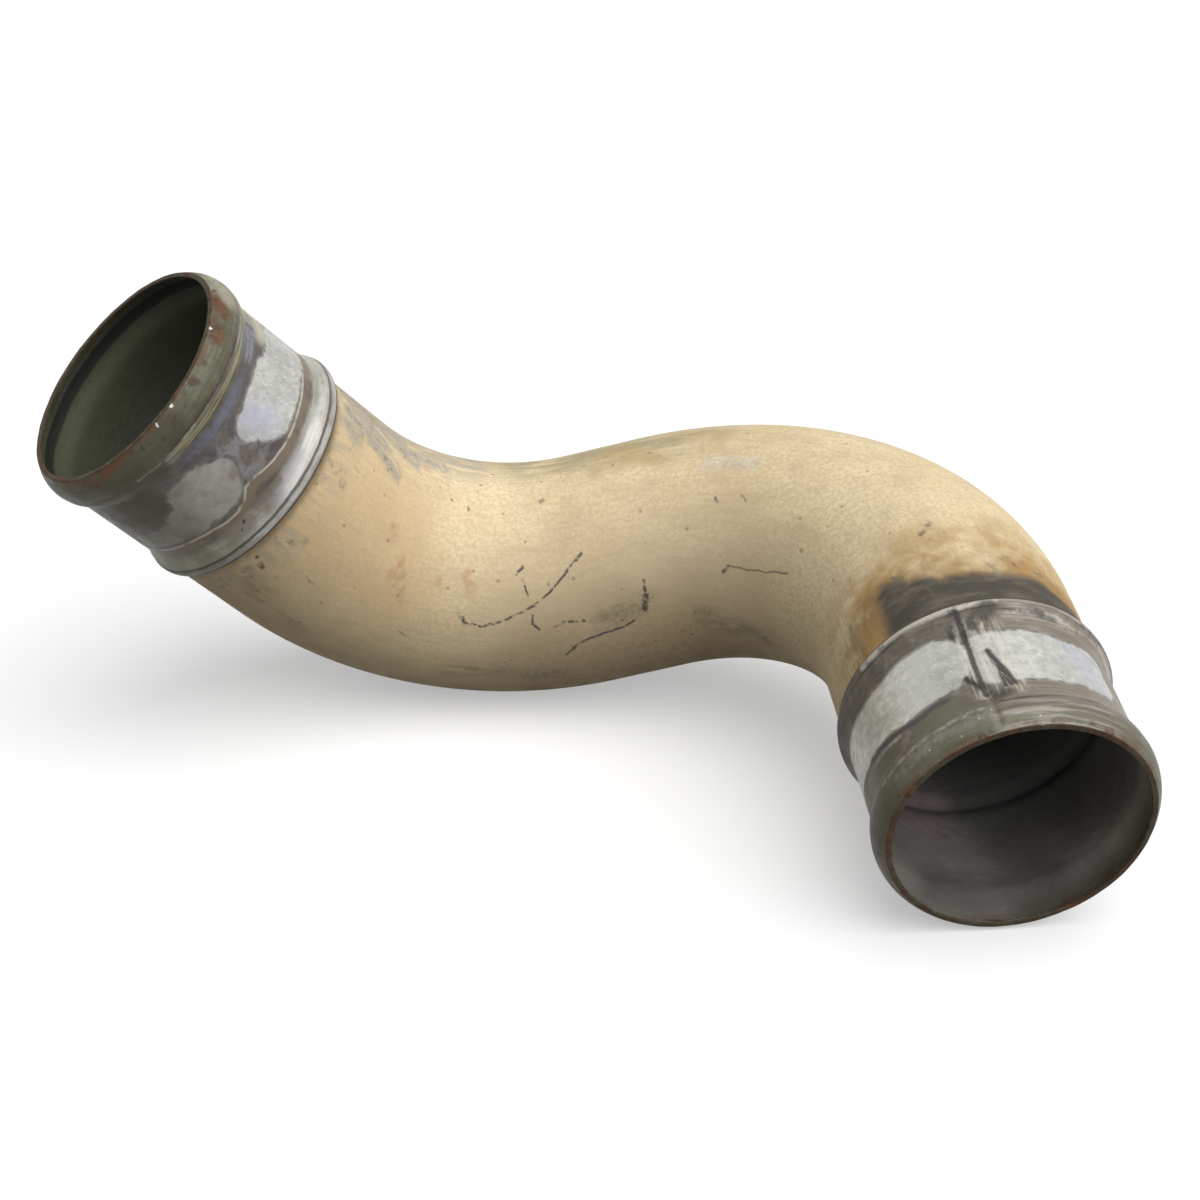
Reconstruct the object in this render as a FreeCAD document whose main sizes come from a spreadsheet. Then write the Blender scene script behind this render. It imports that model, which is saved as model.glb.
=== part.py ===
import FreeCAD, Part
import math
import os
import Sketcher

# A coolant pipe: one seam-welded steel tube with two bends in planes that stand across each other.
# Each end has a lip bead at its rim and a stop bead further in, with the seat for a hose between them.
# Sizes are in millimetres and degrees: the name of each, its value and what it is.
DIMENSIONS = [
    ("tube_diameter", 76.2, "outside of the tube"),
    ("tube_wall", 1.25, "thickness of its wall"),
    ("bend_radius", 86, "radius of both bends, to the middle of the tube"),
    ("first_bend_angle", 67, "turn of the first bend"),
    ("second_bend_angle", 83.5, "turn of the second bend"),
    ("bend_twist", 82, "turn of the second bend's plane about the middle run"),
    ("middle_run", 24, "straight tube between the bends"),
    ("first_end_run", 80.5, "first bend to first rim"),
    ("second_end_run", 77.5, "second bend to second rim"),
    ("lip_height", 2.2, "lip bead's crest above the tube"),
    ("lip_crest_radius", 10.5, "round of the lip bead's crest, along the tube"),
    ("lip_foot_radius", 1.6, "hollow where the lip bead meets the hose seat"),
    ("lip_crest_from_rim", 7.2, "lip bead's crest, back from the rim"),
    ("stop_height", 2.3, "stop bead's crest above the tube"),
    ("stop_crest_radius", 3.8, "round of the stop bead's crest, along the tube"),
    ("stop_foot_radius", 2.5, "hollow behind the stop bead, on the bend's side"),
    ("stop_rise_radius", 12, "hollow in front of the stop bead, where it rises from the hose seat"),
    ("stop_crest_from_rim", 49, "stop bead's crest, back from the rim"),
    ("lying_yaw", -2.29, "attitude at rest: turn about the upright"),
    ("lying_pitch", -16.9, "attitude at rest: dip of the middle run"),
    ("lying_roll", 23.24, "attitude at rest: turn about the middle run"),
]

doc = FreeCAD.newDocument("CoolantPipe")
sheet = doc.addObject("Spreadsheet::Sheet", "Sizes")
for row, (alias, value, meaning) in enumerate(DIMENSIONS, start=1):
    sheet.set(f"A{row}", meaning)
    sheet.set(f"B{row}", str(value))
    sheet.setAlias(f"B{row}", alias)
doc.recompute()

pipe = doc.addObject("PartDesign::Body", "Pipe")
pipe.Label = "coolant_pipe"


def size(alias):
    """The number that the sheet holds under this name."""
    return float(sheet.get(alias))


def origin_plane(role):
    """One of the body's three base planes."""
    return next(plane for plane in pipe.Origin.OriginFeatures if plane.Role == role)


def attach(item, support, turn_axis=FreeCAD.Vector(0, 0, 1), **offsets):
    """Sets a sketch or a plane on its support, moved along and turned as the expressions in offsets say."""
    item.AttachmentSupport = (support, [""])
    item.MapMode = "FlatFace"
    item.AttachmentOffset = FreeCAD.Placement(FreeCAD.Vector(), FreeCAD.Rotation(turn_axis, 90))
    paths = {"x": "Base.x", "y": "Base.y", "z": "Base.z", "turn": "Rotation.Angle"}
    for key, path in paths.items():
        item.setExpression(f"AttachmentOffset.{path}", offsets.get(key, "0"))


def tie(sketch, name, expression, *constraint):
    """Adds a dimension to a sketch and binds it to the sheet."""
    index = sketch.addConstraint(Sketcher.Constraint(*constraint))
    sketch.renameConstraint(index, name)
    sketch.setExpression(f"Constraints.{name}", expression)


def tube_section(name, **offsets):
    """A round section of the tube, across the middle run's axis."""
    sketch = pipe.newObject("Sketcher::SketchObject", name)
    attach(sketch, origin_plane("YZ_Plane"), **offsets)
    radius = size("tube_diameter") / 2
    circle = Part.Circle(FreeCAD.Vector(), FreeCAD.Vector(0, 0, 1), radius)
    outline = sketch.addGeometry(circle)
    sketch.addConstraint(Sketcher.Constraint("Coincident", outline, 3, -1, 1))
    tie(sketch, "diameter", "Sizes.tube_diameter", "Diameter", outline, 2 * radius)
    return sketch


def bend(name, start, turn, angle, back):
    """A bend: the tube's section swung about a line that lies one bend radius to its side."""
    section = tube_section(name + "_section", z=start, turn=turn)
    radius, half = size("bend_radius"), size("tube_diameter") / 2
    ends = FreeCAD.Vector(-half, radius, 0), FreeCAD.Vector(half, radius, 0)
    axis = section.addGeometry(Part.LineSegment(*ends), True)
    section.addConstraint(Sketcher.Constraint("Symmetric", axis, 1, axis, 2, -2))
    tie(section, "axis_length", "Sizes.tube_diameter", "DistanceX", axis, 1, axis, 2, 2 * half)
    tie(section, "bend_radius", "Sizes.bend_radius", "DistanceY", -1, 1, axis, 1, radius)
    swing = pipe.newObject("PartDesign::Revolution", name)
    swing.Profile = section
    swing.ReferenceAxis = (section, ["Axis0"])
    swing.Reversed = back
    swing.setExpression("Angle", angle)


def arc(centre, radius, start, end):
    """An arc of a circle in a sketch, anticlockwise from start to end, in radians."""
    middle = FreeCAD.Vector(*centre, 0)
    return Part.ArcOfCircle(Part.Circle(middle, FreeCAD.Vector(0, 0, 1), radius), start, end)


def bead_slope(height, crest, foot):
    """The steepest slope of a bead, where its crest arc passes into its foot arc."""
    return math.acos(1 - height / (crest + foot))


def straight_end(name, support, run, **offsets):
    """A straight end: its half section, with both beads, turned about the tube's own axis.

    In the sketch, x runs along the axis from the bend to the rim, and y is the distance from that axis.
    """
    sketch = pipe.newObject("Sketcher::SketchObject", name + "_section")
    attach(sketch, support, **offsets)
    half, length = size("tube_diameter") / 2, size(run)
    up, down = math.pi / 2, -math.pi / 2

    stop_crest, stop_foot, stop_rise = (size(f"stop_{part}_radius") for part in ("crest", "foot", "rise"))
    stop_x, stop_y = length - size("stop_crest_from_rim"), half + size("stop_height") - stop_crest
    foot_slope = bead_slope(size("stop_height"), stop_crest, stop_foot)
    foot_x = stop_x - (stop_crest + stop_foot) * math.sin(foot_slope)
    rise_slope = bead_slope(size("stop_height"), stop_crest, stop_rise)
    rise_x = stop_x + (stop_crest + stop_rise) * math.sin(rise_slope)

    lip_crest, lip_foot = size("lip_crest_radius"), size("lip_foot_radius")
    lip_slope = bead_slope(size("lip_height"), lip_crest, lip_foot)
    lip_x, lip_y = length - size("lip_crest_from_rim"), half + size("lip_height") - lip_crest
    lip_end = lip_x - (lip_crest + lip_foot) * math.sin(lip_slope)
    rim_slope = math.asin(size("lip_crest_from_rim") / lip_crest)
    rim_y = lip_y + lip_crest * math.cos(rim_slope)

    def line(*points):
        start, end = (FreeCAD.Vector(*point, 0) for point in points)
        return sketch.addGeometry(Part.LineSegment(start, end))

    def curve(*terms):
        return sketch.addGeometry(arc(*terms))

    joint = line((0, 0), (0, half))
    run_line = line((0, half), (foot_x, half))
    foot_arc = curve((foot_x, half + stop_foot), stop_foot, down, down + foot_slope)
    stop_top = curve((stop_x, stop_y), stop_crest, up - rise_slope, up + foot_slope)
    rise_arc = curve((rise_x, half + stop_rise), stop_rise, down - rise_slope, down)
    seat = line((rise_x, half), (lip_end, half))
    lip_arc = curve((lip_end, half + lip_foot), lip_foot, down, down + lip_slope)
    lip_top = curve((lip_x, lip_y), lip_crest, up - rim_slope, up + lip_slope)
    mouth = line((length, rim_y), (length, 0))
    axis = line((length, 0), (0, 0))

    # The outline closes, starts at the sketch's origin and has its joint and its mouth square to the axis
    for pair in [(joint, 2, run_line, 1), (lip_top, 1, mouth, 1), (mouth, 2, axis, 1), (axis, 2, joint, 1)]:
        sketch.addConstraint(Sketcher.Constraint("Coincident", *pair))
    sketch.addConstraint(Sketcher.Constraint("Coincident", joint, 1, -1, 1))
    for edge in (joint, mouth):
        sketch.addConstraint(Sketcher.Constraint("Vertical", edge))
    for edge in (run_line, seat, axis):
        sketch.addConstraint(Sketcher.Constraint("Horizontal", edge))
    sketch.addConstraint(Sketcher.Constraint("Horizontal", run_line, 2, seat, 1))
    # Every line and arc of the outside passes smoothly into the next
    smooth = [(run_line, 2, foot_arc, 1), (foot_arc, 2, stop_top, 2), (stop_top, 1, rise_arc, 1),
              (rise_arc, 2, seat, 1), (seat, 2, lip_arc, 1), (lip_arc, 2, lip_top, 2)]
    for pair in smooth:
        sketch.addConstraint(Sketcher.Constraint("Tangent", *pair))

    tie(sketch, "run", f"Sizes.{run}", "DistanceX", -1, 1, axis, 1, length)
    tie(sketch, "tube_radius", "Sizes.tube_diameter / 2", "DistanceY", joint, 1, joint, 2, half)
    tie(sketch, "stop_crest", "Sizes.stop_crest_radius", "Radius", stop_top, stop_crest)
    tie(sketch, "stop_foot", "Sizes.stop_foot_radius", "Radius", foot_arc, stop_foot)
    tie(sketch, "stop_rise", "Sizes.stop_rise_radius", "Radius", rise_arc, stop_rise)
    stop_back = size("stop_crest_from_rim")
    tie(sketch, "stop_place", "Sizes.stop_crest_from_rim", "DistanceX", stop_top, 3, axis, 1, stop_back)
    tie(sketch, "stop_depth", "Sizes.tube_diameter / 2 + Sizes.stop_height - Sizes.stop_crest_radius",
        "DistanceY", -1, 1, stop_top, 3, stop_y)
    tie(sketch, "lip_crest", "Sizes.lip_crest_radius", "Radius", lip_top, lip_crest)
    tie(sketch, "lip_foot", "Sizes.lip_foot_radius", "Radius", lip_arc, lip_foot)
    lip_back = size("lip_crest_from_rim")
    tie(sketch, "lip_place", "Sizes.lip_crest_from_rim", "DistanceX", lip_top, 3, axis, 1, lip_back)
    tie(sketch, "lip_depth", "Sizes.tube_diameter / 2 + Sizes.lip_height - Sizes.lip_crest_radius",
        "DistanceY", -1, 1, lip_top, 3, lip_y)

    end = pipe.newObject("PartDesign::Revolution", name)
    end.Profile = sketch
    end.ReferenceAxis = (sketch, ["H_Axis"])
    end.Angle = 360


def mouth_faces(shape):
    """The names of the two flat discs that close the mouths."""
    numbered = enumerate(shape.Faces, start=1)
    return [f"Face{number}" for number, face in numbered if isinstance(face.Surface, Part.Plane)]


# The middle run lies along X, half to each side of the origin
middle = pipe.newObject("PartDesign::Pad", "middle")
middle.Profile = tube_section("middle_section")
middle.Midplane = True
middle.setExpression("Length", "Sizes.middle_run")

# The first bend turns up from the run's -X end, and its straight end goes on from there
bend("first_bend", "-Sizes.middle_run / 2", "0", "Sizes.first_bend_angle", False)
straight_end(
    "first_end", origin_plane("XZ_Plane"), "first_end_run",
    x="-Sizes.middle_run / 2 - Sizes.bend_radius * sin(Sizes.first_bend_angle)",
    y="Sizes.bend_radius * (1 - cos(Sizes.first_bend_angle))",
    turn="180 - Sizes.first_bend_angle")

# The second bend leaves the +X end in a plane that is twisted about the run
bend("second_bend", "Sizes.middle_run / 2", "Sizes.bend_twist", "Sizes.second_bend_angle", True)
twisted = pipe.newObject("PartDesign::Plane", "second_bend_plane")
attach(twisted, origin_plane("XZ_Plane"), turn_axis=FreeCAD.Vector(1, 0, 0), turn="Sizes.bend_twist")
straight_end(
    "second_end", twisted, "second_end_run",
    x="Sizes.middle_run / 2 + Sizes.bend_radius * sin(Sizes.second_bend_angle)",
    y="Sizes.bend_radius * (1 - cos(Sizes.second_bend_angle))",
    turn="Sizes.second_bend_angle")
doc.recompute()

# The bar so far becomes a tube, open at both mouths
solid_bar = pipe.Tip
hollow = pipe.newObject("PartDesign::Thickness", "hollow")
hollow.Base = (solid_bar, mouth_faces(solid_bar.Shape))
hollow.Reversed = True
hollow.setExpression("Value", "Sizes.tube_wall")
doc.recompute()

# At rest the pipe lies on the belly of its first bend and on its second lip, centred over the origin
pipe.Placement.Rotation = FreeCAD.Rotation(size("lying_yaw"), size("lying_pitch"), size("lying_roll"))
doc.recompute()
box = pipe.Shape.optimalBoundingBox(False)
pipe.Placement.Base = FreeCAD.Vector(-box.Center.x, -box.Center.y, -box.ZMin)
doc.recompute()

for item in doc.Objects:
    if {"Invalid", "Error"} & set(item.State):
        raise RuntimeError(f"{item.Name} failed: {item.State}")
if pipe.Shape.isNull() or not pipe.Shape.isValid():
    raise RuntimeError("the pipe has no valid shape")

os.makedirs("parts", exist_ok=True)
pipe.Shape.exportStep(f"parts/{pipe.Label}.step")
print(pipe.Label, len(pipe.Shape.Solids), "solid,", round(pipe.Shape.Volume), "mm3,", pipe.Shape.BoundBox)
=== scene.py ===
import math

import bpy
import numpy as np
from mathutils import Euler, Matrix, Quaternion, Vector


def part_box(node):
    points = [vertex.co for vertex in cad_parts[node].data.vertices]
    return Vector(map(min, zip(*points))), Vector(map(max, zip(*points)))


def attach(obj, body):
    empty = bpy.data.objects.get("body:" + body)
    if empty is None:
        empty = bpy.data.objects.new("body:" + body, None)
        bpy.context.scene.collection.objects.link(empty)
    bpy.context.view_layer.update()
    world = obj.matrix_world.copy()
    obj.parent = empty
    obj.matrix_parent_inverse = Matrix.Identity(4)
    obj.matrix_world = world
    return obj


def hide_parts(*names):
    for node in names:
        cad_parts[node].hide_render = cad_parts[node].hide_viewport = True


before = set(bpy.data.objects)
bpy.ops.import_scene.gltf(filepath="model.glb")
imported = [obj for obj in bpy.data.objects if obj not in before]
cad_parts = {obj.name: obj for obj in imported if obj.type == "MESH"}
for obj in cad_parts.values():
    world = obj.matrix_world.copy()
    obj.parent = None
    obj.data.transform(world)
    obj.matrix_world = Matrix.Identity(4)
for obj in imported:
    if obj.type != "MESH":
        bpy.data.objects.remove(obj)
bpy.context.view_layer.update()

# Sizes of the pipe, in millimetres and degrees as it is built
MM = 0.001
TUBE_RADIUS = 38.1
TUBE_WALL = 1.25
BEND_RADIUS = 86.0
FIRST_TURN = math.radians(67.0)
SECOND_TURN = math.radians(83.5)
TWIST = math.radians(82.0)
FIRST_RUN, MIDDLE_RUN, SECOND_RUN = 80.5, 24.0, 77.5
LIP_HEIGHT, LIP_CREST, LIP_FOOT, LIP_BACK = 2.2, 10.5, 1.6, 7.2
STOP_HEIGHT, STOP_CREST, STOP_FOOT, STOP_RISE, STOP_BACK = 2.3, 3.8, 2.5, 12.0, 49.0
LYING_YAW, LYING_PITCH, LYING_ROLL = -2.29, -16.9, 23.24

# Distances along the centre line from the first rim
FIRST_BEND_END = FIRST_RUN + BEND_RADIUS * FIRST_TURN
SECOND_BEND_START = FIRST_BEND_END + MIDDLE_RUN
SECOND_BEND_END = SECOND_BEND_START + BEND_RADIUS * SECOND_TURN
TUBE_LENGTH = SECOND_BEND_END + SECOND_RUN

# The layout of the surface: millimetres along the tube, and degrees around it from a line on the front
LAYOUT_TURN = 25.0
ARC_PER_DEGREE = math.radians(TUBE_RADIUS)
SEAM_AROUND = -34.0


# The tube's shape

def tube_path(along):
    """Centre, direction and two cross axes of the tube at distances along it from the first rim.

    The line is a straight end, an arc in the plane of X and Z, the middle run on X, an arc in the plane
    that is twisted about X, and a straight end. The cross axes go along without turning about the tube.
    """
    x_axis, z_axis = np.array([1.0, 0, 0]), np.array([0, 0, 1.0])
    side = np.array([0, -math.sin(TWIST), math.cos(TWIST)])
    to_turn = np.clip((FIRST_BEND_END - along) / BEND_RADIUS, 0, FIRST_TURN)[:, None]
    to_go = np.maximum(FIRST_RUN - along, 0)[:, None]
    turned = np.clip((along - SECOND_BEND_START) / BEND_RADIUS, 0, SECOND_TURN)[:, None]
    gone = np.maximum(along - SECOND_BEND_END, 0)[:, None]
    middle = np.clip(along, FIRST_BEND_END, SECOND_BEND_START)[:, None]
    middle = middle - (FIRST_BEND_END + MIDDLE_RUN / 2)
    first = BEND_RADIUS * ((1 - np.cos(to_turn)) * z_axis - np.sin(to_turn) * x_axis)
    first = first + to_go * (np.sin(to_turn) * z_axis - np.cos(to_turn) * x_axis)
    second = BEND_RADIUS * (np.sin(turned) * x_axis + (1 - np.cos(turned)) * side)
    second = second + gone * (np.cos(turned) * x_axis + np.sin(turned) * side)
    centre = middle * x_axis + np.where(to_turn > 0, first, second)
    direction = np.cos(to_turn) * np.cos(turned) * x_axis - np.sin(to_turn) * z_axis + np.sin(turned) * side
    upright = np.cos(to_turn) * z_axis + np.sin(to_turn) * x_axis
    upright = upright - math.cos(TWIST) * (np.sin(turned) * x_axis + (1 - np.cos(turned)) * side)
    return centre, direction, upright, np.cross(direction, upright)


def bead(distance, height, crest, foot):
    """Height of a bead's flank at a distance from its crest: a crest arc that passes into a foot arc."""
    reach = math.sqrt((crest + foot) ** 2 - (crest + foot - height) ** 2)
    top = height - crest + np.sqrt(np.maximum(crest ** 2 - distance ** 2, 0))
    hollow = foot - np.sqrt(np.maximum(foot ** 2 - (reach - distance) ** 2, 0))
    on_top = distance <= reach * crest / (crest + foot)
    return np.where(on_top, top, np.where(distance < reach, hollow, 0))


def wall_radius(along, inset):
    """Radius of the wall along the tube: the tube less the inset, with a lip and a stop bead at each end.

    The inset shrinks the crests and widens the hollows, so that the wall keeps its thickness in the beads.
    """
    back = np.minimum(along, TUBE_LENGTH - along)
    lip_side = np.where(back < LIP_BACK, LIP_BACK - back, 0)
    lip_front = LIP_HEIGHT - LIP_CREST + inset + np.sqrt((LIP_CREST - inset) ** 2 - lip_side ** 2)
    lip_behind = bead(back - LIP_BACK, LIP_HEIGHT, LIP_CREST - inset, LIP_FOOT + inset)
    lip = np.where(back < LIP_BACK, lip_front, lip_behind)
    stop_front = bead(STOP_BACK - back, STOP_HEIGHT, STOP_CREST - inset, STOP_RISE + inset)
    stop_behind = bead(back - STOP_BACK, STOP_HEIGHT, STOP_CREST - inset, STOP_FOOT + inset)
    stop = np.where(back < STOP_BACK, stop_front, stop_behind)
    return TUBE_RADIUS - inset + np.where(back < (LIP_BACK + STOP_BACK) / 2, lip, stop)


# Shallow dents: distance along, angle around, reach and depth
DENTS = [
    (191.0, 42.0, 11.0, 0.7),
    (222.0, 58.0, 14.0, 0.5),
    (62.0, 61.0, 4.0, 0.5),
    (284.0, 44.0, 16.0, 0.6),
    (70.0, -28.0, 9.0, 0.4),
    (150.0, -120.0, 15.0, 0.8),
    (240.0, 150.0, 13.0, 0.7),
    (110.0, 170.0, 10.0, 0.5),
    (372.0, -75.0, 9.0, 0.3),
    (30.0, -10.0, 9.0, 0.25),
]


def dent_depth(along, around):
    """How far the wall is pushed in: a sum of round bell-shaped dents, in layout distance."""
    depth = np.zeros((len(along), len(around)))
    for at, turn, reach, deep in DENTS:
        arc = ((around - turn + 180) % 360 - 180) * ARC_PER_DEGREE
        depth += deep * np.exp(-((along - at)[:, None] ** 2 + arc[None, :] ** 2) / reach ** 2)
    return depth


# The weld seam's groove: its size, where it starts and ends, and over how far it fades in and out
SEAM_DEPTH, SEAM_WIDTH = 0.45, 0.9
SEAM_START, SEAM_END = TUBE_LENGTH - 43.0, TUBE_LENGTH - 1.0
SEAM_FADE_IN, SEAM_FADE_OUT = 4.0, 2.0
# Fine grooves round the beads at both ends: distance back from the rim, depth and width
GROOVES = [(47.8, 0.32, 0.42), (8.7, 0.14, 0.5)]


def seam_depth(along, around):
    """Depth of the weld seam's groove on the second end: a bell across it, fading in and out along it."""
    arc = (around - SEAM_AROUND) * ARC_PER_DEGREE
    fade_in = np.clip((along - SEAM_START) / SEAM_FADE_IN, 0, 1)
    fade_out = np.clip((SEAM_END - along) / SEAM_FADE_OUT, 0, 1)
    return SEAM_DEPTH * (fade_in * fade_out)[:, None] * np.exp(-(arc / SEAM_WIDTH) ** 2)[None, :]


def groove_depth(along):
    """Depth of the grooves round the beads: a sum of bells along the tube."""
    back = np.minimum(along, TUBE_LENGTH - along)
    return sum(deep * np.exp(-((back - at) / width) ** 2) for at, deep, width in GROOVES)[:, None]


# The cut rims: the rounding of their edges with the angles of its rings, and how uneven the cut is
RIM_ROUND = 0.35
RIM_ANGLES = (25, 50, 75, 90)
RIM_WAVE = 0.12
RIM_WAVE_REACH = 2.5
# The ripples of the cut: share of the wave, number in a turn and where the first starts
RIM_RIPPLES = [(0.5, 5, 0.7), (0.3, 17, 0.0), (0.2, 41, 2.0)]
# How far the skin lies under the CAD surface
SKIN_INSET = 0.08
# The finishes of the mesh in the order of its materials, and how far back from each rim the paint starts
PAINT, FIRST_END, SECOND_END, RIM, BORE = range(5)
PAINT_BACK = 50.25
# Columns round the pipe and by the seam, and the steps of the rings over the beads and between them
COLUMNS = 168
SEAM_COLUMNS, SEAM_REACH = 15, 3.6
OUTER_STEPS, INNER_STEPS = (0.65, 2.4), (1.8, 4.5)
# Distances back from a rim between which the rings are closest, and where the wider steps begin
CREST_START, CREST_END = STOP_BACK - 2.4, STOP_BACK + 0.6
RUN_START = STOP_BACK + 6.0


def wall_rows(end_step, run_step, inset):
    """Distances along the tube of one wall's rings, closer together over the beads, and their radii."""
    beads = np.concatenate([np.arange(RIM_ROUND, CREST_START, end_step),
                            np.arange(CREST_START, CREST_END, end_step / 3),
                            np.arange(CREST_END, RUN_START, end_step)])
    rings = round((TUBE_LENGTH - 2 * STOP_BACK) / run_step)
    run = np.linspace(RUN_START, TUBE_LENGTH - RUN_START, rings)
    along = np.concatenate([beads, run, TUBE_LENGTH - beads[::-1]])
    return along, wall_radius(along, inset)


def rim_rows(outer_radius, inner_radius):
    """Rings over a cut rim, outer wall to inner: a quarter round at each edge and a flat between."""
    turn = np.radians(RIM_ANGLES)
    off = RIM_ROUND * (1 - np.cos(turn))
    back = RIM_ROUND * (1 - np.sin(turn))
    radius = np.concatenate([outer_radius - off, (inner_radius + off)[::-1]])
    return np.concatenate([back, back[::-1]]), radius


def pipe_grid():
    """Points of the whole pipe as a closed grid of rings: outer wall, second rim, inner wall, first rim.

    Each point is the centre line plus the ring's radius, less dents, seam and grooves, towards its angle
    around. By the rims it is also moved inward by a wave. The plain points leave all of this out.
    """
    by_seam = SEAM_AROUND + np.linspace(-SEAM_REACH, SEAM_REACH, SEAM_COLUMNS)
    around = np.unique(np.concatenate([np.arange(-180, 180, 360 / COLUMNS), by_seam]).round(4))
    outer_along, outer_radius = wall_rows(*OUTER_STEPS, 0)
    inner_along, inner_radius = wall_rows(*INNER_STEPS, TUBE_WALL)
    rim_back, rim_radius = rim_rows(outer_radius[0], inner_radius[0])
    along = np.concatenate([outer_along, TUBE_LENGTH - rim_back, inner_along[::-1], rim_back[::-1]])
    radius = np.concatenate([outer_radius, rim_radius, inner_radius[::-1], rim_radius[::-1]])
    lengths = [len(outer_along), len(rim_back), len(inner_along), len(rim_back)]
    finish = np.repeat([PAINT, RIM, BORE, RIM], lengths)
    step_middle = (outer_along[1:] + outer_along[:-1]) / 2
    finish[:lengths[0] - 1][step_middle < PAINT_BACK] = FIRST_END
    finish[:lengths[0] - 1][step_middle > TUBE_LENGTH - PAINT_BACK] = SECOND_END
    finish[lengths[0] - 1] = RIM
    finish[sum(lengths[:3]) - 1] = RIM

    turn = np.radians(around)
    ripples = sum(share * np.sin(count * turn + start) for share, count, start in RIM_RIPPLES)
    wave = RIM_WAVE * (1 + ripples)
    near_rim = np.clip(1 - np.minimum(along, TUBE_LENGTH - along) / RIM_WAVE_REACH, 0, 1)[:, None]
    inward = np.where(along < TUBE_LENGTH / 2, 1, -1)[:, None]
    push = dent_depth(along, around)
    on_outside = (np.arange(len(along)) < lengths[0])[:, None]
    push = push + np.where(on_outside, seam_depth(along, around) + groove_depth(along), 0)
    centre, direction, upright, across = tube_path(along)
    angle = np.radians(around + LAYOUT_TURN)[None, :, None]
    outward = np.cos(angle) * upright[:, None] + np.sin(angle) * across[:, None]
    points = centre[:, None] + (radius[:, None] - push - SKIN_INSET)[..., None] * outward
    points = points + (near_rim * inward * wave[None, :])[..., None] * direction[:, None]
    plain = centre[:, None] + radius[:, None, None] * outward
    return along, around, points, plain, finish


def lying_turn():
    """Rotation of the pipe as it lies: roll about X, then pitch about Y, then yaw about Z."""
    return np.array(Euler(np.radians([LYING_ROLL, LYING_PITCH, LYING_YAW]), "XYZ").to_matrix())


def make_pipe(materials):
    """The pipe as one closed mesh where the CAD pipe lies, with its layout as a UV map in millimetres.

    The grid is turned as the pipe lies, and moved until its plain points have the middle of the CAD box.
    """
    along, around, points, plain, finish = pipe_grid()
    turn = lying_turn()
    points, plain = points @ turn.T * MM, plain @ turn.T * MM
    low, high = (np.array(corner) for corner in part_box("coolant_pipe"))
    flat = plain.reshape(-1, 3)
    points = points + (low + high) / 2 - (flat.min(0) + flat.max(0)) / 2

    rows, columns = points.shape[:2]
    row, column = np.meshgrid(np.arange(rows), np.arange(columns), indexing="ij")
    ring_steps = np.stack([row, row, row + 1, row + 1], -1).reshape(-1, 4)
    turn_steps = np.stack([column, column + 1, column + 1, column], -1).reshape(-1, 4)
    faces = (ring_steps % rows) * columns + turn_steps % columns
    mesh = bpy.data.meshes.new("coolant_pipe_skin")
    mesh.from_pydata(points.reshape(-1, 3), [], faces)

    closed_arc = np.append(around, 180.0) * ARC_PER_DEGREE
    closed_along = np.append(along, along[0])
    layout = np.stack([closed_along[ring_steps], closed_arc[turn_steps]], -1)
    mesh.uv_layers.new(name="Layout").data.foreach_set("uv", layout.astype(np.float32).ravel())
    for material in materials:
        mesh.materials.append(material)
    mesh.polygons.foreach_set("material_index", np.repeat(finish, columns))
    mesh.polygons.foreach_set("use_smooth", np.ones(len(faces), bool))
    mesh.update()
    pipe = bpy.data.objects.new("pipe_skin", mesh)
    bpy.context.scene.collection.objects.link(pipe)
    return pipe


# Node helpers

def put(tree, socket, value):
    """Sets a node's input to a value, or links it to an output socket."""
    if isinstance(value, bpy.types.NodeSocket):
        tree.links.new(value, socket)
    else:
        socket.default_value = value


def add(tree, kind, inputs=None, **settings):
    """A node with its settings; each input is a value, or an output socket to link."""
    made = tree.nodes.new(kind)
    for key, value in settings.items():
        setattr(made, key, value)
    for key, value in (inputs or {}).items():
        put(tree, made.inputs[key], value)
    return made


def calc(tree, operation, *terms):
    """The result of a Math node on numbers or sockets."""
    return add(tree, "ShaderNodeMath", dict(enumerate(terms)), operation=operation).outputs[0]


def vector(tree, operation, *terms):
    """The vector result of a Vector Math node."""
    return add(tree, "ShaderNodeVectorMath", dict(enumerate(terms)), operation=operation).outputs[0]


def scalar(tree, operation, *terms):
    """The number that a Vector Math node gives, such as a length or a dot product."""
    return add(tree, "ShaderNodeVectorMath", dict(enumerate(terms)), operation=operation).outputs["Value"]


def scaled(tree, arrow, amount):
    """A vector times a number."""
    return add(tree, "ShaderNodeVectorMath", {0: arrow, "Scale": amount}, operation="SCALE").outputs[0]


def step(tree, value, start, end, low=0.0, high=1.0):
    """A smooth step of a value, from low at start to high at end."""
    inputs = {"Value": value, 1: start, 2: end, 3: low, 4: high}
    return add(tree, "ShaderNodeMapRange", inputs, interpolation_type="SMOOTHSTEP").outputs[0]


def blend(tree, factor, below, above):
    """Two colours mixed by a mask; each is a socket or a linear red, green and blue."""
    below, above = (c if isinstance(c, bpy.types.NodeSocket) else (*c, 1.0) for c in (below, above))
    return add(tree, "ShaderNodeMix", {0: factor, 6: below, 7: above}, data_type="RGBA").outputs[2]


def group(name, inputs, outputs):
    """An empty node group with named sockets, as its tree, what it is given and what it results in."""
    tree = bpy.data.node_groups.new(name, "ShaderNodeTree")
    for in_out, sockets in (("INPUT", inputs), ("OUTPUT", outputs)):
        for label, kind in sockets.items():
            tree.interface.new_socket(label, in_out=in_out, socket_type="NodeSocket" + kind)
    return tree, tree.nodes.new("NodeGroupInput").outputs, tree.nodes.new("NodeGroupOutput").inputs


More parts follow.
